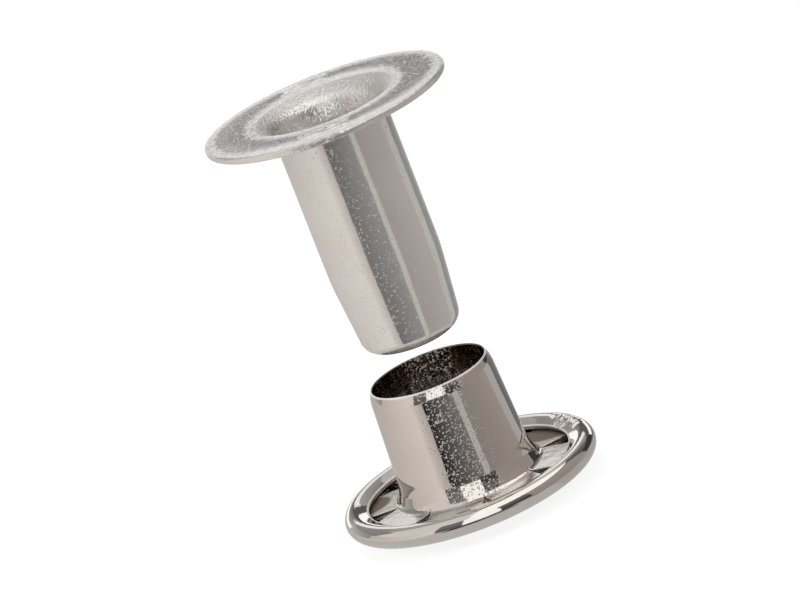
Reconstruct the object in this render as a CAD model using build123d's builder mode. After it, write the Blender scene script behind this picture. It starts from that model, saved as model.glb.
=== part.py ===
from build123d import *

import os
from math import acos, asin, atan2, cos, degrees, pi, radians, sin, sqrt, tan

# A two-part tubular rivet, drawn in thin sheet, shown pulled apart on its own axis. The cap
# lies face down with its crown at the origin. The socket stands in it, and the post hangs
# over the socket's mouth, ready to be pressed home. All sizes are in mm.

# Sheet thicknesses and clearances
CAP_WALL = 0.18
SOCKET_WALL = 0.18
POST_WALL = 0.25
SLIDE_CLEARANCE = 0.05
SEAT_CLEARANCE = 0.015
PULLED_OUT = 1.26

# Cap: a shallow dome with a flat crown, whose edge is curled up and over
CAP_DIAMETER = 9.0
CROWN_RADIUS = 1.2
CURL_HEIGHT = 0.78
CURL_BOTTOM_Z = 0.4
LIP_REACH = 0.45

# Socket: a slightly coned tube with a drawn-in mouth and a foot slit into tongues
MOUTH_Z = 4.94
MOUTH_LAND = 0.04
NOSE_LENGTH = 0.5
FOOT_FLARE = 0.17
FOOT_BEND_RADIUS = 0.3
TONGUE_COUNT = 8
TONGUE_SLOPE = 4.0
TONGUE_TIP_GAP = 0.22
SLIT_ROOT_GAP = 0.018
SLIT_ANGLE = 5.0

# Post: an arched flange rolled into a shank with a tapered, closed tip
POST_LENGTH = 8.69
FLANGE_INSET = 0.29
FLANGE_ARCH_RADIUS = 9.0
FLANGE_INNER_SLOPE = 6.0
FLANGE_EDGE_ROUND = 0.09
ROLLOVER_RADIUS = 0.5
SHANK_DIAMETER = 3.92
TAPER_LENGTH = 2.74
TAPER_DEPTH = 0.255
SHOULDER_RADIUS = 9.0
TIP_ROUND = 0.53

# The cap's section: a flat crown, then a dome that runs into a curl of round section
curl_radius = CURL_HEIGHT / 2
curl_bore = curl_radius - CAP_WALL
curl_centre = Vector(CAP_DIAMETER / 2 - curl_radius, CURL_BOTTOM_Z + curl_radius)
dome_width = curl_centre.X - CROWN_RADIUS
dome_radius = (dome_width**2 + CURL_BOTTOM_Z**2) / (2 * CURL_BOTTOM_Z) + curl_radius
dome_centre = Vector(CROWN_RADIUS, dome_radius)
dome_angle = degrees(atan2(dome_width, dome_radius - curl_centre.Y))
floor_radius = dome_radius - CAP_WALL

# The tongues lie on the cap's floor and reach into the curl
slope = radians(TONGUE_SLOPE)
tongue_reach = curl_centre.X + curl_bore - TONGUE_TIP_GAP
tip_floor_z = dome_radius - sqrt(floor_radius**2 - (tongue_reach - CROWN_RADIUS) ** 2)
tip_under = Vector(tongue_reach, tip_floor_z + SEAT_CLEARANCE)
tip_top = tip_under + Vector(sin(slope), cos(slope)) * SOCKET_WALL


def tongue_top(radius):
    """Point on a tongue's upper face at a distance from the axis."""
    return Vector(radius, tip_top.Y + (tip_top.X - radius) * tan(slope))


# The curl turns just far enough for its lip to bear on the tongues
lip_edge = tongue_top(curl_centre.X - LIP_REACH) + Vector(0, SEAT_CLEARANCE)
lip_line = lip_edge - curl_centre
lip_angle = degrees(atan2(lip_line.Y, lip_line.X)) % 360
curl_start = dome_angle - 90
curl_end = lip_angle - degrees(acos(curl_bore / lip_line.length))
lip_outer_edge = lip_edge + Vector(CAP_WALL, 0).rotate(Axis.Z, curl_end)

# The socket's bore lets the post's shank slide, and its foot turns out into the tongues
shank_radius = SHANK_DIAMETER / 2
mouth = Vector(shank_radius + SLIDE_CLEARANCE, MOUTH_Z)
neck = mouth + Vector(SOCKET_WALL, -NOSE_LENGTH)
foot = tongue_top(neck.X + FOOT_FLARE)
slit_radius = foot.X + SLIT_ROOT_GAP

# The post hangs over the mouth, and its flange is an arch that starts where the rollover ends
# and stops a little short of the cap's edge
tip_z = MOUTH_Z + PULLED_OUT
flange_radius = CAP_DIAMETER / 2 - FLANGE_INSET
rollover_turn = 90 - FLANGE_INNER_SLOPE
rollover_end = shank_radius + ROLLOVER_RADIUS * (1 - cos(radians(rollover_turn)))
rollover_rise = ROLLOVER_RADIUS * sin(radians(rollover_turn))
crest_radius = rollover_end + FLANGE_ARCH_RADIUS * sin(radians(FLANGE_INNER_SLOPE))
outer_slope = degrees(asin((flange_radius - crest_radius) / FLANGE_ARCH_RADIUS))
arch_turn = FLANGE_INNER_SLOPE + outer_slope
arch_rise = FLANGE_ARCH_RADIUS * (1 - cos(radians(FLANGE_INNER_SLOPE)))
shank_top_z = tip_z + POST_LENGTH - POST_WALL - arch_rise - rollover_rise
edge_round = min(FLANGE_EDGE_ROUND, 0.4 * POST_WALL)


def moved_corner(before, corner, after, distance):
    """Where a corner goes when both of its sides move into the bend by a distance."""
    one = (before - corner).normalized()
    other = (after - corner).normalized()
    return corner + (one + other) * (distance / one.cross(other).length)


with BuildPart() as cap:
    with BuildSketch(Plane.XZ):
        with BuildLine():
            floor = CenterArc(dome_centre, floor_radius, -90, dome_angle)
            curl_inside = CenterArc(curl_centre, curl_bore, curl_start, curl_end - curl_start)
            face = CenterArc(dome_centre, dome_radius, -90, dome_angle)
            curl_outside = CenterArc(curl_centre, curl_radius, curl_start, curl_end - curl_start)
            Polyline(curl_inside @ 1, lip_edge, lip_outer_edge, curl_outside @ 1)
            Polyline(floor @ 0, (0, CAP_WALL), (0, 0), face @ 0)
        make_face()
    revolve(axis=Axis.Z)
cap.part.label = "cap"

with BuildPart() as socket:
    with BuildSketch(Plane.XZ):
        with BuildLine():
            inner_neck = neck - Vector(SOCKET_WALL, 0)
            inner_foot = moved_corner(neck, foot, tip_top, -SOCKET_WALL)
            outside = FilletPolyline(neck, foot, tip_top, radius=FOOT_BEND_RADIUS)
            inside = FilletPolyline(
                inner_neck, inner_foot, tip_under, radius=FOOT_BEND_RADIUS + SOCKET_WALL
            )
            Line(tip_top, tip_under)
            nose = TangentArc(neck, mouth + Vector(MOUTH_LAND, 0), tangent=neck - foot)
            Polyline(nose @ 1, mouth, inner_neck)
        make_face()
    revolve(axis=Axis.Z)
    # The slits run out between the tongues and up into the bend of the foot
    reach = CAP_DIAMETER / 2
    half_width = (reach - slit_radius) * tan(pi / TONGUE_COUNT)
    with BuildSketch():
        with PolarLocations(0, TONGUE_COUNT, start_angle=SLIT_ANGLE):
            Polygon((slit_radius, 0), (reach, -half_width), (reach, half_width), align=None)
    extrude(amount=foot.Y + FOOT_BEND_RADIUS, mode=Mode.SUBTRACT)
socket.part.label = "socket"

with BuildPart() as post:
    with BuildSketch(Plane.XZ) as post_section:
        with BuildLine():
            tip_centre = Vector(0, tip_z)
            tip_corner = Vector(shank_radius - TAPER_DEPTH, tip_z)
            shoulder = Vector(shank_radius, tip_z + TAPER_LENGTH)
            shank_top = Vector(shank_radius, shank_top_z)
            outside = FilletPolyline(
                tip_centre, tip_corner, shoulder, shank_top, radius=(TIP_ROUND, SHOULDER_RADIUS)
            )
            rollover = JernArc(shank_top, (0, 1), ROLLOVER_RADIUS, -rollover_turn)
            arch = JernArc(rollover @ 1, rollover % 1, FLANGE_ARCH_RADIUS, -arch_turn)
            inside = FilletPolyline(
                tip_centre + Vector(0, POST_WALL),
                moved_corner(tip_centre, tip_corner, shoulder, POST_WALL),
                moved_corner(tip_corner, shoulder, shank_top, POST_WALL),
                shank_top - Vector(POST_WALL, 0),
                radius=(TIP_ROUND - POST_WALL, SHOULDER_RADIUS - POST_WALL),
            )
            funnel = JernArc(inside @ 1, (0, 1), ROLLOVER_RADIUS + POST_WALL, -rollover_turn)
            top = JernArc(funnel @ 1, funnel % 1, FLANGE_ARCH_RADIUS + POST_WALL, -arch_turn)
            Line(top @ 1, arch @ 1)
            Line(outside @ 0, inside @ 0)
        make_face()
        fillet(post_section.vertices().sort_by(Axis.X)[-2:], radius=edge_round)
    revolve(axis=Axis.Z)
post.part.label = "post"

os.makedirs("parts", exist_ok=True)
export_step(cap.part, "parts/cap.step")
export_step(socket.part, "parts/socket.step")
export_step(post.part, "parts/post.step")
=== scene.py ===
from math import acos, asin, atan2, cos, degrees, pi, radians, sin, sqrt, tan

import bpy
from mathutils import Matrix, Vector


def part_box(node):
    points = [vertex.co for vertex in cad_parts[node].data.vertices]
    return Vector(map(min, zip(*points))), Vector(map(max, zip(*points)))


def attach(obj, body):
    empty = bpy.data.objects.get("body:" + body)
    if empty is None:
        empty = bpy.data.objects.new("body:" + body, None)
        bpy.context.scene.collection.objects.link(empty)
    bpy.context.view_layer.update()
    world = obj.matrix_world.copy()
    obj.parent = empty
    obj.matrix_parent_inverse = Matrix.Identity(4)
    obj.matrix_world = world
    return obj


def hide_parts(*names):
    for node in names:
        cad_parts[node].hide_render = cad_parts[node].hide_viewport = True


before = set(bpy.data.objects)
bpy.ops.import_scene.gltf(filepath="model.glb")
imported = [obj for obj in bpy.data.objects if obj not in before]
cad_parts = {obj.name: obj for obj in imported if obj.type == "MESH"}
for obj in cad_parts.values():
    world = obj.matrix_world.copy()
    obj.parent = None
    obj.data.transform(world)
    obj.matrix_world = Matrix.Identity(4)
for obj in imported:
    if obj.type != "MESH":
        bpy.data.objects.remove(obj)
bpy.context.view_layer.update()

# The pieces are drawn in mm and brought to metres when they are finished
MM = 0.001

# Sheet thicknesses and clearances
CAP_WALL = 0.18
SOCKET_WALL = 0.18
POST_WALL = 0.25
SLIDE_CLEARANCE = 0.05
SEAT_CLEARANCE = 0.015

# Cap
CROWN_RADIUS = 1.2
CURL_HEIGHT = 0.78
CURL_BOTTOM_Z = 0.4
LIP_REACH = 0.45

# Socket
MOUTH_LAND = 0.04
NOSE_LENGTH = 0.5
FOOT_FLARE = 0.17
TONGUE_COUNT = 8
TONGUE_SLOPE = 4.0
TONGUE_TIP_GAP = 0.22
SLIT_RADIUS = 2.56
SLIT_ANGLE = 5.0
FLARE_RADIUS = 1.6
FLARE_HEIGHT = 0.45
FLARE_TURN = 25.0
FLARE_FOOT_RADIUS = 0.25

# Post
FLANGE_INSET = 0.29
FLANGE_ARCH_RADIUS = 9.0
FLANGE_INNER_SLOPE = 6.0
FLANGE_EDGE_ROUND = 0.09
ROLLOVER_RADIUS = 0.5
SHANK_RADIUS = 1.96
TAPER_LENGTH = 2.74
TAPER_DEPTH = 0.255
SHOULDER_RADIUS = 9.0
TIP_ROUND = 0.53
HOLE_RADIUS = 2.47
HOLE_EDGE_ROUND = 0.05
HOLE_EDGE_TURN = 0.5
FUNNEL_WALL = 0.15
FUNNEL_TURN = 165.0
THROAT_RADIUS = 1.0

# How finely round forms are drawn
STEPS_AROUND = 192
DEGREES_A_STEP = 6.0
ARC_STEP = 0.15
SAME_PLACE = 1e-4
SAME_RING = 1e-3

# The sheet's cut edges are rounded. The angles, in degrees, say which edges are cut edges
# and below which angle an edge is shaded smooth
EDGE_ROUND = 0.025
EDGE_STEPS = 3
CUT_EDGE = 40.0
SMOOTH_EDGE = 35.0

# The camera, in mm and degrees, and how near and far it sees, in metres
CAMERA_BACK = 179.51
CAMERA_UP = 59.97
LOOK_DOWN = 16.27
LEAN = 21.37
LENS = 251.6
SENSOR = 36.0
NEAREST = 0.01
FARTHEST = 5.0

# Colours of the finish
NICKEL = (0.715, 0.675, 0.64, 1)
AGED_NICKEL = (0.69, 0.64, 0.59, 1)
PALE_NICKEL = (0.70, 0.68, 0.655, 1)
AGED_PALE_NICKEL = (0.68, 0.655, 0.62, 1)
DULL_NICKEL = (0.66, 0.61, 0.56, 1)
TARNISH = (0.34, 0.26, 0.21, 1)
# A dark brown painted shade, for the shadow under the lip of the cap's curl
PAINTED_SHADE = (0.09, 0.065, 0.05, 1)
WHITE = (1, 1, 1, 1)

# Roughness of the plate, and how metallic the tumbled one is
POLISHED = 0.05
TUMBLED = 0.1
TUMBLED_SHINE = 0.85

# Heights of the skin, which only the bump shows
WAVE_HEIGHT = 0.004
FINE_GRAIN_HEIGHT = 0.001
PEBBLE_HEIGHT = 0.035
BORE_PEBBLE_HEIGHT = 0.05
CREASE_HEIGHT = 0.025
TUMBLED_HEIGHT = 0.025
FROST_HEIGHT = 0.008
FLANGE_GRAIN_HEIGHT = 0.0015
SCUFF_HEIGHT = 0.03
STREAK_HEIGHT = 0.03
FUNNEL_PEBBLE_HEIGHT = 0.012

# Marks on the cap
DENT = (3.6, 1.2, 1.1)
DENT_REACH = 1.1
DENT_HEIGHT = 0.12
PITS = ((3.5, 1.55, 1.13), (3.68, 1.1, 1.13))
PIT_REACH = 0.22
PIT_DEPTH = 0.08

# Marks on the socket
BAND_MIDDLE = 0.1
BAND_REACH = 1.125
BAND_FADE = 0.625
PEBBLE_EDGE = 4.0
CREASE_RISE = 0.4
# Where the painted shade lies on the tongues under the curl's lip, and how far it reaches
RIGHT_PAINTED_SHADE = (3.05, 1.85, 0.8)
RIGHT_PAINTED_SHADE_REACH = 1.3
LEFT_PAINTED_SHADE = (-3.45, 1.1, 0.8)
LEFT_PAINTED_SHADE_REACH = 0.9
PAINTED_SHADE_EDGE = 3.5
LIP_WEAR = 0.06

# Marks on the post
FLANGE_DEPTH = 0.6
FUNNEL_DEPTH = 1.5
FUNNEL_OPENING = 1.36
FUNNEL_MARGIN = 0.02
FROST_RAGGED = 0.12
SCUFF_MIDDLE = -0.35
SCUFF_FALL = 1.8
SCUFF_RAGGED = 1.2

# The light, with the floor and the lamps in metres
FLOOR_SIZE = 4.0
FLOOR_GREY = 0.9
FLOOR_GLOW = 0.85
ROOM_LIGHT = 0.8
LAMP_DISTANCE = 0.45

# The cards, in mm, and how high they reach, in degrees seen from the rivet
CARD_LIFT = 0.05
NEAR_RING = 3.2
FAR_RING = 8.0
TENT = 400.0
TENT_TOP = 520.0
ROOF_HOLE = 1.0
LOW_FRONT = 5.0
LOW_BACK = 11.0
WALL = 20.5
UPPER_WALL = 45.0
WARM_RED = 0.07
WARM_BLUE = 0.045

# Heights and widths that the frame gives
cap_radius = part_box("cap")[1].x / MM
mouth_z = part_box("socket")[1].z / MM
tip_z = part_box("post")[0].z / MM
crest_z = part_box("post")[1].z / MM


def flat(radius, height):
    """A point of a profile, which is drawn in the plane of X and Z."""
    return Vector((radius, height))


def turned(vector, angle):
    """A profile's vector, turned anticlockwise by an angle in degrees."""
    c, s = cos(radians(angle)), sin(radians(angle))
    return flat(vector.x * c - vector.y * s, vector.x * s + vector.y * c)


def heading(vector):
    """The direction of a profile's vector, in degrees from the axis X."""
    return degrees(atan2(vector.y, vector.x))


class Profile:
    """A profile drawn from its first point by straight runs and arcs, in edit mode."""

    def __init__(self, name, start):
        bpy.ops.object.select_all(action="DESELECT")
        bpy.ops.mesh.primitive_plane_add(size=1)
        self.piece = bpy.context.object
        self.piece.name = name
        self.piece.data.name = name
        self.start = start
        # The plane shrinks to the first point
        bpy.ops.object.mode_set(mode="EDIT")
        bpy.ops.mesh.select_all(action="SELECT")
        bpy.ops.mesh.merge(type="CENTER")
        bpy.ops.transform.translate(value=(start.x, 0, start.y))
        self.end = start

    def line(self, point):
        """A straight run to a point."""
        move = point - self.end
        bpy.ops.mesh.extrude_vertices_move(TRANSFORM_OT_translate={"value": (move.x, 0, move.y)})
        self.end = point

    def arc(self, centre, turn):
        """An arc about a centre, anticlockwise where the turn, in degrees, is above 0."""
        length = radians(abs(turn)) * (self.end - centre).length
        steps = max(2, round(abs(turn) / DEGREES_A_STEP), round(length / ARC_STEP))
        bpy.ops.mesh.spin(
            steps=steps, angle=radians(turn), center=(centre.x, 0, centre.y), axis=(0, 1, 0)
        )
        self.end = centre + turned(self.end - centre, turn)

    def bend(self, corner, after, radius):
        """A straight run towards a corner and a round bend that sets out for the next point."""
        before = (self.end - corner).normalized()
        onward = (after - corner).normalized()
        half = acos(before.dot(onward)) / 2
        start = corner + before * (radius / tan(half))
        centre = corner + (before + onward).normalized() * (radius / sin(half))
        self.line(start)
        side = before.x * onward.y - before.y * onward.x
        turn = 180 - degrees(2 * half)
        self.arc(centre, -turn if side > 0 else turn)


def lathe(turn=360.0):
    """Spins the profile that is being edited about the axis Z, clockwise seen from above."""
    bpy.ops.mesh.select_all(action="SELECT")
    steps = round(STEPS_AROUND * turn / 360)
    bpy.ops.mesh.spin(steps=steps, angle=radians(turn), center=(0, 0, 0), axis=(0, 0, 1))


def close_seams(profile, outwards):
    """Merges what lies on one place, and turns the faces out.

    Outwards is 1 or -1: whether the face at the profile's start looks up or down.
    """
    bpy.ops.mesh.select_all(action="SELECT")
    bpy.ops.mesh.remove_doubles(threshold=SAME_PLACE)
    bpy.ops.mesh.normals_make_consistent(inside=False)
    bpy.ops.object.mode_set(mode="OBJECT")
    place = Vector((profile.start.x, 0, profile.start.y))
    first = min(profile.piece.data.polygons, key=lambda face: (face.center - place).length)
    if first.normal.z * outwards < 0:
        bpy.ops.object.mode_set(mode="EDIT")
        bpy.ops.mesh.flip_normals()
        bpy.ops.object.mode_set(mode="OBJECT")


def add_modifier(piece, kind, **settings):
    """Adds a modifier with its settings and applies it."""
    modifier = piece.modifiers.new(kind.title(), kind)
    for name, value in settings.items():
        setattr(modifier, name, value)
    bpy.context.view_layer.objects.active = piece
    bpy.ops.object.modifier_apply(modifier=modifier.name)


def thicken(piece, wall, **settings):
    """Gives a sheet its wall, on the inner side of its faces."""
    add_modifier(
        piece, "SOLIDIFY", thickness=wall, offset=-1, use_even_offset=True, use_rim=True, **settings
    )


def round_edges(piece, width):
    """Rounds the cut edges of a sheet."""
    add_modifier(
        piece,
        "BEVEL",
        width=width,
        segments=EDGE_STEPS,
        limit_method="ANGLE",
        angle_limit=radians(CUT_EDGE),
    )


def finish_piece(piece, body, node):
    """Brings a piece from mm to metres, smooths it and hangs it on its body."""
    bpy.ops.object.select_all(action="DESELECT")
    piece.select_set(True)
    bpy.context.view_layer.objects.active = piece
    piece.scale = (MM, MM, MM)
    bpy.ops.object.transform_apply(location=True, rotation=True, scale=True)
    bpy.ops.object.shade_smooth_by_angle(angle=radians(SMOOTH_EDGE))
    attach(piece, body)
    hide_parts(node)
    return piece


# The cap's measures
curl_radius = CURL_HEIGHT / 2
curl_bore = curl_radius - CAP_WALL
curl_centre = flat(cap_radius - curl_radius, CURL_BOTTOM_Z + curl_radius)
dome_width = curl_centre.x - CROWN_RADIUS
dome_radius = (dome_width**2 + CURL_BOTTOM_Z**2) / (2 * CURL_BOTTOM_Z) + curl_radius
dome_angle = degrees(atan2(dome_width, dome_radius - curl_centre.y))
floor_radius = dome_radius - CAP_WALL

# The tongues' measures, and the lip's, which bears on them
slope = radians(TONGUE_SLOPE)
tongue_reach = curl_centre.x + curl_bore - TONGUE_TIP_GAP
tip_floor_z = dome_radius - sqrt(floor_radius**2 - (tongue_reach - CROWN_RADIUS) ** 2)
tip_under = flat(tongue_reach, tip_floor_z + SEAT_CLEARANCE)
tip_top = tip_under + flat(sin(slope), cos(slope)) * SOCKET_WALL


def tongue_top(radius):
    """Point on a tongue's upper face at a distance from the axis."""
    return flat(radius, tip_top.y + (tip_top.x - radius) * tan(slope))


lip_edge = tongue_top(curl_centre.x - LIP_REACH) + flat(0, SEAT_CLEARANCE)
lip_line = lip_edge - curl_centre
curl_end = heading(lip_line) % 360 - degrees(acos(curl_bore / lip_line.length))
lip_outer_edge = lip_edge + turned(flat(CAP_WALL, 0), curl_end)

# The socket's measures
mouth = flat(SHANK_RADIUS + SLIDE_CLEARANCE, mouth_z)
neck = mouth + flat(SOCKET_WALL, -NOSE_LENGTH)
foot = tongue_top(neck.x + FOOT_FLARE)
wall_line = (foot - neck).normalized()
flare_corner = foot - wall_line * FLARE_HEIGHT
flare_line = turned(wall_line, FLARE_TURN)

# The post's measures
rollover_turn = 90 - FLANGE_INNER_SLOPE
rollover_end = SHANK_RADIUS + ROLLOVER_RADIUS * (1 - cos(radians(rollover_turn)))
crest_radius = rollover_end + FLANGE_ARCH_RADIUS * sin(radians(FLANGE_INNER_SLOPE))
flange_radius = cap_radius - FLANGE_INSET
outer_slope = degrees(asin((flange_radius - crest_radius) / FLANGE_ARCH_RADIUS))
arch_rise = FLANGE_ARCH_RADIUS * (1 - cos(radians(FLANGE_INNER_SLOPE)))
rollover_rise = ROLLOVER_RADIUS * sin(radians(rollover_turn))
shank_top = flat(SHANK_RADIUS, crest_z - POST_WALL - arch_rise - rollover_rise)


def make_cap():
    """The cap: a shallow dome whose edge is curled up, over and down on to the tongues."""
    profile = Profile("cap_shell", flat(0, 0))
    profile.line(flat(CROWN_RADIUS, 0))
    profile.arc(flat(CROWN_RADIUS, dome_radius), dome_angle)
    profile.arc(curl_centre, curl_end - dome_angle + 90)
    profile.line(lip_outer_edge)
    lathe()
    close_seams(profile, -1)
    thicken(profile.piece, CAP_WALL)
    round_edges(profile.piece, EDGE_ROUND)
    return finish_piece(profile.piece, "cap_half", "cap")


def pick(piece, wanted):
    """Picks the vertices of a piece that a test names, and leaves it in edit mode."""
    bpy.ops.object.mode_set(mode="EDIT")
    bpy.ops.mesh.select_all(action="DESELECT")
    bpy.ops.object.mode_set(mode="OBJECT")
    for vertex in piece.data.vertices:
        vertex.select = wanted(vertex.co)
    bpy.ops.object.mode_set(mode="EDIT")


def narrow_tongue(piece, rings):
    """Gives a tongue straight sides, ring by ring, and keeps each ring on its own radius."""
    half_width = SLIT_RADIUS * sin(pi / TONGUE_COUNT)
    for radius in rings:
        if radius > SLIT_RADIUS + SAME_RING:
            pick(piece, lambda place: abs(place.xy.length - radius) < SAME_RING)
            sag = radius - sqrt(radius**2 - half_width**2)
            flatten = sag / (radius * (1 - cos(pi / TONGUE_COUNT)))
            bpy.ops.transform.resize(
                value=(flatten, SLIT_RADIUS / radius, 1), center_override=(radius, 0, 0)
            )
            bpy.ops.object.mode_set(mode="OBJECT")


def turn_piece(piece, angle):
    """Turns a piece about the axis Z, mesh and all."""
    bpy.ops.object.select_all(action="DESELECT")
    piece.select_set(True)
    bpy.context.view_layer.objects.active = piece
    piece.rotation_euler.z = radians(angle)
    bpy.ops.object.transform_apply(location=False, rotation=True, scale=False)


def repeat_around(piece, count):
    """Copies a sector about the axis Z and joins the copies to it."""
    copies = [piece.copy() for _ in range(count - 1)]
    for number, sector in enumerate(copies, start=1):
        sector.data = piece.data.copy()
        bpy.context.collection.objects.link(sector)
        turn_piece(sector, number * 360 / count)
    bpy.ops.object.select_all(action="DESELECT")
    for sector in copies:
        sector.select_set(True)
    piece.select_set(True)
    bpy.context.view_layer.objects.active = piece
    bpy.ops.object.join()


def thin_mouth(piece):
    """Marks how the wall thins towards the mouth, so that the bore stays straight."""
    group = piece.vertex_groups.new(name="wall")
    for vertex in piece.data.vertices:
        share = 1.0
        if vertex.co.z > neck.y:
            share = (vertex.co.xy.length - mouth.x) / SOCKET_WALL
        group.add([vertex.index], share, "REPLACE")


def make_socket():
    """The socket: a tube with a drawn-in mouth, slit at its foot into eight tongues."""
    # The outside, from the mouth down, out through the flare and along a tongue
    lip = mouth + flat(MOUTH_LAND, 0)
    chord = lip - neck
    inward = turned(wall_line, -90)
    nose_centre = neck + inward * (chord.length_squared / (2 * chord.dot(inward)))
    nose_turn = degrees(2 * asin(chord.length / 2 / (lip - nose_centre).length))
    profile = Profile("socket_tube", lip)
    profile.arc(nose_centre, -nose_turn)
    run = (foot.y - flare_corner.y + (flare_corner.x - foot.x) * tan(slope)) / (
        flare_line.y + flare_line.x * tan(slope)
    )
    flare_foot = flare_corner + flare_line * run
    profile.bend(flare_corner, flare_foot, FLARE_RADIUS)
    profile.bend(flare_foot, tip_top, FLARE_FOOT_RADIUS)
    profile.line(tip_top)
    # One sector is spun, its tongue is narrowed, and it is copied round
    bpy.ops.object.mode_set(mode="OBJECT")
    piece = profile.piece
    rings = [vertex.co.x for vertex in piece.data.vertices]
    bpy.ops.object.mode_set(mode="EDIT")
    sector = 360 / TONGUE_COUNT
    lathe(sector)
    bpy.ops.object.mode_set(mode="OBJECT")
    turn_piece(piece, sector / 2)
    narrow_tongue(piece, rings)
    turn_piece(piece, SLIT_ANGLE + sector / 2)
    repeat_around(piece, TONGUE_COUNT)
    bpy.ops.object.mode_set(mode="EDIT")
    close_seams(profile, 1)
    thin_mouth(piece)
    thicken(piece, SOCKET_WALL, vertex_group="wall")
    round_edges(piece, EDGE_ROUND)
    return finish_piece(piece, "cap_half", "socket")


def moved_corner(before, corner, after, distance):
    """Where a corner goes when both of its sides move into the bend by a distance."""
    one = (before - corner).normalized()
    other = (after - corner).normalized()
    return corner + (one + other) * (distance / abs(one.x * other.y - one.y * other.x))


def make_post():
    """The post: a closed, tapered tip, a shank, and a funnel that opens into an arched flange."""
    tip_centre = flat(0, tip_z)
    shoulder = flat(SHANK_RADIUS, tip_z + TAPER_LENGTH)
    tip_corner = flat(SHANK_RADIUS - TAPER_DEPTH, tip_z)
    rollover_centre = shank_top + flat(ROLLOVER_RADIUS, 0)
    crest_centre = flat(crest_radius, crest_z - POST_WALL - FLANGE_ARCH_RADIUS)
    # The outside, from the tip up and out to the flange's edge
    profile = Profile("post_shell", tip_centre)
    profile.bend(tip_corner, shoulder, TIP_ROUND)
    profile.bend(shoulder, shank_top, SHOULDER_RADIUS)
    profile.line(shank_top)
    profile.arc(rollover_centre, -rollover_turn)
    profile.arc(crest_centre, -FLANGE_INNER_SLOPE - outer_slope)
    # The flange's top, back to the crisp edge of its hole
    profile.line(profile.end + (profile.end - crest_centre).normalized() * POST_WALL)
    top_radius = FLANGE_ARCH_RADIUS + POST_WALL
    hole_slope = degrees(asin((crest_radius - HOLE_RADIUS) / top_radius))
    hole_edge = crest_centre + turned(flat(0, top_radius), hole_slope)
    profile.arc(crest_centre, outer_slope + hole_slope - HOLE_EDGE_TURN)
    # The funnel, drawn thinner than the rest, and the bore down to the tip
    funnel_radius = ROLLOVER_RADIUS + FUNNEL_WALL
    down = rollover_centre - hole_edge
    leaving = heading(down) - degrees(asin(funnel_radius / down.length))
    touch = hole_edge + turned(flat(sqrt(down.length_squared - funnel_radius**2), 0), leaving)
    profile.bend(hole_edge, touch, HOLE_EDGE_ROUND)
    profile.line(touch)
    profile.arc(rollover_centre, FUNNEL_TURN - heading(touch - rollover_centre))
    bore = SHANK_RADIUS - POST_WALL
    narrowing = turned(flat(-1, 0), FUNNEL_TURN - 90)
    throat = profile.end + narrowing * ((bore - profile.end.x) / narrowing.x)
    inner_shoulder = moved_corner(tip_corner, shoulder, shank_top, POST_WALL)
    inner_corner = moved_corner(tip_centre, tip_corner, shoulder, POST_WALL)
    inner_tip = tip_centre + flat(0, POST_WALL)
    profile.bend(throat, inner_shoulder, THROAT_RADIUS)
    profile.bend(inner_shoulder, inner_corner, SHOULDER_RADIUS - POST_WALL)
    profile.bend(inner_corner, inner_tip, TIP_ROUND - POST_WALL)
    profile.line(inner_tip)
    lathe()
    close_seams(profile, -1)
    round_edges(profile.piece, FLANGE_EDGE_ROUND)
    return finish_piece(profile.piece, "post_half", "post")


class Value:
    """A shader socket. An expression on it adds the Math nodes that work it out."""

    def __init__(self, paint, socket):
        self.paint = paint
        self.socket = socket

    def math(self, operation, first, second=0.0, **settings):
        """A Math node on one or two values, of which one may be a plain number."""
        settings["operation"] = operation
        return self.paint.node("ShaderNodeMath", settings, {0: first, 1: second})

    def __add__(self, other):
        return self.math("ADD", self, other)

    def __sub__(self, other):
        return self.math("SUBTRACT", self, other)

    def __mul__(self, other):
        return self.math("MULTIPLY", self, other)

    def __radd__(self, other):
        return self.math("ADD", other, self)

    def __rsub__(self, other):
        return self.math("SUBTRACT", other, self)

    def __rmul__(self, other):
        return self.math("MULTIPLY", other, self)

    def __abs__(self):
        return self.math("ABSOLUTE", self)

    def clamped(self):
        """The value, kept from 0 to 1."""
        return self.math("ADD", self, use_clamp=True)

    def below(self, limit):
        """1 where the value is below a limit, and 0 elsewhere."""
        return self.math("LESS_THAN", self, limit)


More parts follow.
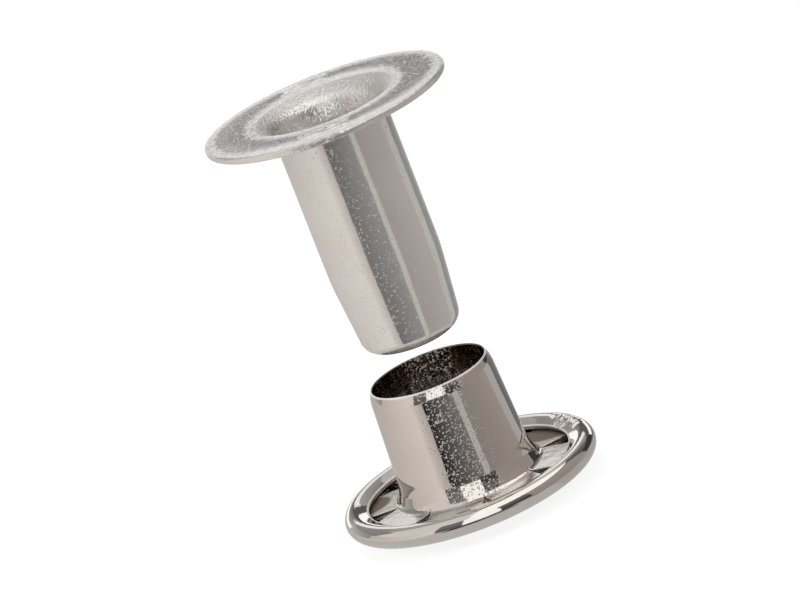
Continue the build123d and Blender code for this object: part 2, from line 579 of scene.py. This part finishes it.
class Paint:
    """A material, or the world, whose nodes are added one by one."""

    def __init__(self, holder):
        holder.use_nodes = True
        self.holder = holder
        self.tree = holder.node_tree
        self.tree.nodes.clear()

    def node(self, kind, settings, sockets, output=0):
        """Adds a node with its settings, then the values or links of its sockets."""
        node = self.tree.nodes.new(kind)
        for name, value in settings.items():
            if name == "stops":
                self.set_stops(node.color_ramp, value)
            else:
                setattr(node, name, value)
        for name, value in sockets.items():
            if isinstance(value, Value):
                self.tree.links.new(value.socket, node.inputs[name])
            else:
                node.inputs[name].default_value = value
        return Value(self, node.outputs[output]) if len(node.outputs) else None

    def set_stops(self, ramp, stops):
        """Gives a colour ramp its stops, as places with greys."""
        while len(ramp.elements) < len(stops):
            ramp.elements.new(1.0)
        for element, (place, grey) in zip(ramp.elements, stops):
            element.position = place
            element.color = (grey, grey, grey, 1)

    def looks(self):
        """Whether a ray looks at the scene, straight or by way of metal or glass."""
        kinds = ("Is Camera Ray", "Is Glossy Ray", "Is Transmission Ray")
        paths = [self.node("ShaderNodeLightPath", {}, {}, output=kind) for kind in kinds]
        return sum(paths).clamped()

    def place(self):
        """The place on the piece, in metres."""
        return self.node("ShaderNodeTexCoord", {}, {}, output="Object")

    def along(self, axis):
        """The place along one of the axes X, Y and Z, in mm."""
        part = self.node("ShaderNodeSeparateXYZ", {}, {0: self.place()}, output=axis)
        return part * (1 / MM)

    def radius(self):
        """The distance from the rivet's axis, in mm."""
        x, y = self.along("X"), self.along("Y")
        return x.math("SQRT", x * x + y * y)

    def grain(self, size, detail=2.0, stretch=(1, 1, 1)):
        """A cloudy grain from 0 to 1, of a size in mm, which may be stretched along the axes."""
        scale = tuple(1 / part for part in stretch)
        place = self.node("ShaderNodeMapping", {}, {"Vector": self.place(), "Scale": scale})
        return self.node(
            "ShaderNodeTexNoise", {}, {"Vector": place, "Scale": 1 / (size * MM), "Detail": detail}
        )

    def pebbles(self, size, start=0.54):
        """Small bumps, from 0 to 1, that stand apart on a smooth skin."""
        return self.ramp(self.grain(size), [(start, 0.0), (start + 0.3, 1.0)])

    def near(self, point, reach):
        """1 at a point, falling to 0 at a reach from it, both in mm."""
        away = self.node(
            "ShaderNodeVectorMath",
            {"operation": "DISTANCE"},
            {0: self.place(), 1: Vector(point) * MM},
            output="Value",
        )
        return (1 - away * (1 / (reach * MM))).clamped()

    def ramp(self, value, stops):
        """Grey steps or slopes along a value."""
        return self.node("ShaderNodeValToRGB", {"stops": stops}, {"Fac": value})

    def blend(self, share, first, second):
        """A colour between two colours."""
        return self.node(
            "ShaderNodeMix", {"data_type": "RGBA"}, {0: share, 6: first, 7: second}, output=2
        )

    def bump(self, height):
        """Normals for a height in mm."""
        return self.node("ShaderNodeBump", {}, {"Height": height, "Strength": 1.0, "Distance": MM})


def start_plate(name, fresh, aged):
    """A nickel plate's paint, and its colour, which is browner where it has aged."""
    paint = Paint(bpy.data.materials.new(name))
    age = paint.ramp(paint.grain(1.1), [(0.35, 0.0), (0.75, 1.0)])
    return paint, paint.blend(age, fresh, aged)


def finish_plate(paint, colour, shine, roughness, height):
    """Puts a plate's shader together, with a height in mm for its skin."""
    shader = paint.node(
        "ShaderNodeBsdfPrincipled",
        {},
        {
            "Base Color": colour,
            "Metallic": shine,
            "Roughness": roughness,
            "Normal": paint.bump(height),
        },
    )
    paint.node("ShaderNodeOutputMaterial", {}, {"Surface": shader})
    return paint.holder


def cap_plate():
    """Bright plate, faintly wavy, and duller inside the cap, where it is hardly polished."""
    paint, colour = start_plate("cap_nickel", NICKEL, AGED_NICKEL)
    out = paint.radius() - CROWN_RADIUS
    above_dome = paint.along("Z") - out * out * (0.5 / dome_radius)
    floor = paint.radius().below(lip_edge.x) * (1 - above_dome.below(CAP_WALL / 2))
    waves = paint.grain(0.5, stretch=(3, 1, 1)) * WAVE_HEIGHT
    skin = paint.grain(0.12) * FINE_GRAIN_HEIGHT + waves
    # The curl is dented on the right, where two small pits show
    skin = skin + paint.near(DENT, DENT_REACH) * paint.grain(0.4) * DENT_HEIGHT
    for pit in PITS:
        skin = skin - paint.near(pit, PIT_REACH) * PIT_DEPTH
    colour = paint.blend(floor, colour, DULL_NICKEL)
    return finish_plate(paint, colour, 1 - floor * 0.6, POLISHED + floor * 0.4, skin)


def socket_plate():
    """Bright plate with a pebbled skin, browned inside the tube, and with painted shade on the
    tongues under the curl.
    """
    paint, colour = start_plate("socket_nickel", NICKEL, AGED_NICKEL)
    z = paint.along("Z")
    bore = paint.radius().below(mouth.x + MOUTH_LAND / 2)
    lip = 1 - z.below(mouth.y - LIP_WEAR)
    tongues = z.below(foot.y)
    # The skin is pebbled most in a band down the front and the back
    off_band = abs(paint.along("X") - BAND_MIDDLE)
    band = ((BAND_REACH - off_band) * (1 / BAND_FADE)).clamped()
    pebbles = paint.pebbles(0.07, start=0.58) * (1 - bore) * band
    bore_pebbles = paint.pebbles(0.09, start=0.52) * bore * band * band
    # The sheet is creased where the tongues were bent out
    bent = ((foot.y + CREASE_RISE - z) * (1 / CREASE_RISE)).clamped()
    skin = (
        pebbles * PEBBLE_HEIGHT
        + bore_pebbles * BORE_PEBBLE_HEIGHT
        + paint.grain(0.6) * WAVE_HEIGHT
        + paint.grain(0.45, stretch=(1, 1, 2)) * bent * CREASE_HEIGHT
    )
    browned = bore * (1 - bore_pebbles * PEBBLE_EDGE).clamped()
    colour = paint.blend(browned, colour, TARNISH)
    # Painted shade: the tongues are coloured dark in two places under the lip of the curl, where
    # its shade falls
    painted_shade = paint.near(RIGHT_PAINTED_SHADE, RIGHT_PAINTED_SHADE_REACH) + paint.near(LEFT_PAINTED_SHADE, LEFT_PAINTED_SHADE_REACH)
    painted_shade = (painted_shade * PAINTED_SHADE_EDGE).clamped() * tongues
    colour = paint.blend(painted_shade, colour, PAINTED_SHADE)
    # The lip of the mouth is worn pale, the tongues are hardly polished, and the painted shade is
    # made duller and rougher
    shine = 1 - bore_pebbles * (1 - lip) * 0.8 - painted_shade * 0.8 - lip * 0.4
    roughness = POLISHED + bore * 0.03 + tongues * 0.2 + painted_shade * 0.3 + lip * 0.3
    return finish_plate(paint, colour, shine, roughness, skin)


def post_plate():
    """Tumbled plate with a fine grain, streaked in the funnel and scuffed across the flange."""
    paint, colour = start_plate("post_nickel", PALE_NICKEL, AGED_PALE_NICKEL)
    z, radius = paint.along("Z"), paint.radius()
    # The funnel's side of the wall, which opens upwards from the end of the shank
    rise = (z - shank_top.y).clamped()
    unopened = radius - rise * rise * FUNNEL_OPENING
    inside = unopened.below(SHANK_RADIUS - POST_WALL / 2 + FUNNEL_MARGIN)
    bottom = z.below(shank_top.y - FUNNEL_DEPTH)
    funnel = radius.below(HOLE_RADIUS) * inside * (1 - bottom)
    # The flange is frosted along its rim and round its hole, in shares of its radius
    flange = (1 - z.below(crest_z - FLANGE_DEPTH)) * (1 - radius.below(HOLE_RADIUS))
    ragged = radius * (1 / flange_radius) + (paint.grain(0.2, detail=4.0) - 0.5) * FROST_RAGGED
    frosted = flange * paint.ramp(ragged, [(0.62, 1.0), (0.68, 0.0), (0.90, 0.0), (0.95, 1.0)])
    # A scuff runs straight over the flange, to the left of the middle
    off_scuff = abs(paint.along("X") - SCUFF_MIDDLE)
    scuff = (1 - off_scuff * SCUFF_FALL + paint.grain(0.4) * SCUFF_RAGGED).clamped() * flange
    streaks = paint.ramp(paint.grain(0.12, stretch=(5, 1, 1)), [(0.45, 0.0), (0.60, 1.0)])
    skin = (
        paint.pebbles(0.08, start=0.45) * (frosted * FROST_HEIGHT + flange * FLANGE_GRAIN_HEIGHT)
        + paint.pebbles(0.07, start=0.63) * TUMBLED_HEIGHT
        + paint.grain(0.6) * WAVE_HEIGHT
        + streaks * scuff * SCUFF_HEIGHT
        + paint.grain(0.08, stretch=(1, 1, 5)) * funnel * STREAK_HEIGHT
        + paint.pebbles(0.08) * funnel * FUNNEL_PEBBLE_HEIGHT
    )
    roughness = TUMBLED + funnel * 0.02 + frosted * 0.06
    return finish_plate(paint, colour, TUMBLED_SHINE, roughness, skin)


def make_camera():
    """The photograph's camera: a long lens that looks down on the rivet and leans over."""
    camera = bpy.data.objects.new("camera", bpy.data.cameras.new("camera"))
    bpy.context.collection.objects.link(camera)
    camera.location = (0, -CAMERA_BACK * MM, CAMERA_UP * MM)
    camera.rotation_mode = "ZYX"
    camera.rotation_euler = (radians(90 - LOOK_DOWN), 0, radians(-LEAN))
    camera.data.lens = LENS
    camera.data.sensor_width = SENSOR
    camera.data.clip_start = NEAREST
    camera.data.clip_end = FARTHEST
    bpy.context.scene.camera = camera


def make_floor():
    """A white floor that keeps a soft shadow."""
    bpy.ops.object.select_all(action="DESELECT")
    bpy.ops.mesh.primitive_plane_add(size=FLOOR_SIZE)
    floor = bpy.context.object
    floor.name = "floor"
    paint = Paint(bpy.data.materials.new("white_floor"))
    glow = paint.node("ShaderNodeEmission", {}, {"Color": WHITE, "Strength": 1.0})
    grey = (FLOOR_GREY, FLOOR_GREY, FLOOR_GREY, 1)
    matt = paint.node("ShaderNodeBsdfDiffuse", {}, {"Color": grey})
    share = paint.looks() * FLOOR_GLOW
    mixed = paint.node("ShaderNodeMixShader", {}, {0: share, 1: matt, 2: glow})
    paint.node("ShaderNodeOutputMaterial", {}, {"Surface": mixed})
    paint.holder.cycles.emission_sampling = "NONE"
    floor.data.materials.append(paint.holder)


def make_world():
    """A plain light room, white to all that looks at it."""
    paint = Paint(bpy.context.scene.world or bpy.data.worlds.new("room"))
    bpy.context.scene.world = paint.holder
    strength = ROOM_LIGHT + (1 - ROOM_LIGHT) * paint.looks()
    sky = paint.node("ShaderNodeBackground", {}, {"Color": WHITE, "Strength": strength})
    paint.node("ShaderNodeOutputWorld", {}, {"Surface": sky})
    paint.holder.cycles.sampling_method = "NONE"


def make_lamp(name, azimuth, elevation, size, power):
    """A square soft lamp that faces the rivet, by its azimuth from +X and its elevation."""
    lamp = bpy.data.objects.new(name, bpy.data.lights.new(name, "AREA"))
    bpy.context.collection.objects.link(lamp)
    lamp.data.size = size
    lamp.data.energy = power
    lamp.visible_glossy = False
    a, e = radians(azimuth), radians(elevation)
    towards = Vector((cos(e) * cos(a), cos(e) * sin(a), sin(e)))
    lamp.location = towards * LAMP_DISTANCE
    lamp.rotation_mode = "QUATERNION"
    lamp.rotation_quaternion = towards.to_track_quat("Z", "Y")


def make_card(name, belt, start, stop, first, last, warmth=0.0):
    """A sector of card about the rivet, whose greys only show in the metal.

    The belt is the two points of a profile that it runs between. Its azimuths start from the
    camera and grow to the camera's right, and its grey goes from the first to the last.
    """
    low, high = belt
    profile = Profile(name, low * MM)
    profile.line(high * MM)
    lathe(stop - start)
    bpy.ops.object.mode_set(mode="OBJECT")
    card = profile.piece
    turn_piece(card, stop - 90)
    paint = Paint(bpy.data.materials.new(name))
    x, y = paint.along("X"), paint.along("Y")
    azimuth = x.math("ARCTAN2", x, 0 - y) * (180 / pi)
    if stop > 180:
        azimuth = azimuth + 360 * azimuth.below(0)
    share = ((azimuth - start) * (1 / (stop - start))).clamped()
    tint = [1 + WARM_RED * warmth, 1, 1 - WARM_BLUE * warmth]
    greys = [tuple(grey * part for part in tint) + (1,) for grey in (first, last)]
    colour = paint.blend(share, *greys)
    glow = paint.node("ShaderNodeEmission", {}, {"Color": colour, "Strength": 1.0})
    paint.node("ShaderNodeOutputMaterial", {}, {"Surface": glow})
    paint.holder.cycles.emission_sampling = "NONE"
    card.data.materials.append(paint.holder)
    card.visible_camera = False
    card.visible_diffuse = False
    card.visible_shadow = False


def tent_point(elevation):
    """Where the tent stands at an elevation seen from the rivet."""
    return flat(TENT, TENT * tan(radians(elevation)))


def make_tent():
    """The cards that a bright metal piece is photographed among."""
    edge = flat(TENT, CARD_LIFT)
    # On the floor, close to the rivet
    belt = (flat(NEAR_RING, CARD_LIFT), flat(FAR_RING, CARD_LIFT))
    make_card("near_left", belt, -155, -60, 0.55, 0.60)
    make_card("near_front", belt, -60, 45, 0.62, 0.56)
    make_card("near_right", belt, 45, 150, 0.50, 0.45)
    make_card("near_back", belt, 150, 205, 0.45, 0.55)
    # On the floor, from there to the wall
    belt = (flat(FAR_RING, CARD_LIFT), edge)
    make_card("floor_left", belt, -155, -48, 0.52, 0.80, warmth=1.0)
    make_card("floor_left_edge", belt, -48, -30, 0.76, 0.50, warmth=1.0)
    make_card("floor_gap", belt, -30, 24, 0.02, 0.22)
    make_card("floor_slit", belt, 24, 34, 0.56, 0.56)
    make_card("floor_right", belt, 34, 103, 0.28, 0.38, warmth=1.35)
    make_card("floor_right_edge", belt, 103, 124, 0.50, 0.50)
    make_card("floor_flag", belt, 124, 148, 0.18, 0.22)
    make_card("floor_back", belt, 148, 205, 0.35, 0.60)
    # Behind the rivet, and in front of it, the lowest part of the wall has its own cards
    belt = (edge, tent_point(LOW_BACK))
    make_card("low_back", belt, 148, 212, 1.25, 1.25)
    make_card("low_back_left", belt, 212, 245, 0.60, 0.35)
    belt = (edge, tent_point(LOW_FRONT))
    make_card("low_camera", belt, -20, 15, 0.15, 0.15)
    belt = (tent_point(LOW_BACK), tent_point(WALL))
    make_card("wall_back_right", belt, 148, 181, 0.12, 0.12)
    make_card("wall_back_left", belt, 181, 205, 0.22, 0.45)
    make_card("wall_far_left", belt, 205, 245, 0.55, 0.35)
    # The rest of the wall, with one tall card behind the camera
    belt = (edge, tent_point(WALL))
    make_card("wall_left", belt, -115, -45, 0.60, 0.85, warmth=1.0)
    make_card("wall_gap_left", belt, -45, -20, 0.14, 0.14)
    tall_belt = (tent_point(LOW_FRONT), tent_point(UPPER_WALL))
    make_card("wall_camera", tall_belt, -20, 15, 1.30, 1.30)
    make_card("wall_gap_right", belt, 15, 44, 0.07, 0.07)
    make_card("wall_right", belt, 44, 120, 0.33, 0.35, warmth=1.35)
    make_card("wall_flag", belt, 120, 148, 0.05, 0.05)
    # Above the wall
    belt = (tent_point(WALL), tent_point(UPPER_WALL))
    make_card("upper_left", belt, -110, -45, 0.80, 0.80, warmth=0.5)
    make_card("upper_gap_left", belt, -45, -20, 0.20, 0.20)
    make_card("upper_gap_right", belt, 15, 44, 0.15, 0.15)
    make_card("upper_right", belt, 44, 120, 0.36, 0.36, warmth=1.35)
    make_card("upper_flag", belt, 120, 145, 0.10, 0.20)
    make_card("upper_back_right", belt, 145, 162, 0.30, 0.45)
    make_card("upper_back", belt, 162, 198, 1.10, 1.10)
    make_card("upper_back_left", belt, 198, 250, 0.35, 0.28)
    # The roof
    belt = (tent_point(UPPER_WALL), flat(ROOF_HOLE, TENT_TOP))
    make_card("roof_left", belt, -120, -15, 0.80, 0.80)
    make_card("roof_right", belt, -15, 130, 1.35, 1.35)
    make_card("roof_back", belt, 130, 240, 0.65, 0.40)


cap = make_cap()
socket = make_socket()
post = make_post()
cap.data.materials.append(cap_plate())
socket.data.materials.append(socket_plate())
post.data.materials.append(post_plate())

make_camera()
make_floor()
make_world()
make_tent()
make_lamp("top_lamp", azimuth=100, elevation=60, size=0.30, power=1.2)
make_lamp("left_lamp", azimuth=190, elevation=35, size=0.25, power=1.5)
make_lamp("right_lamp", azimuth=-10, elevation=35, size=0.25, power=1.0)

bpy.context.scene.view_settings.view_transform = "Standard"
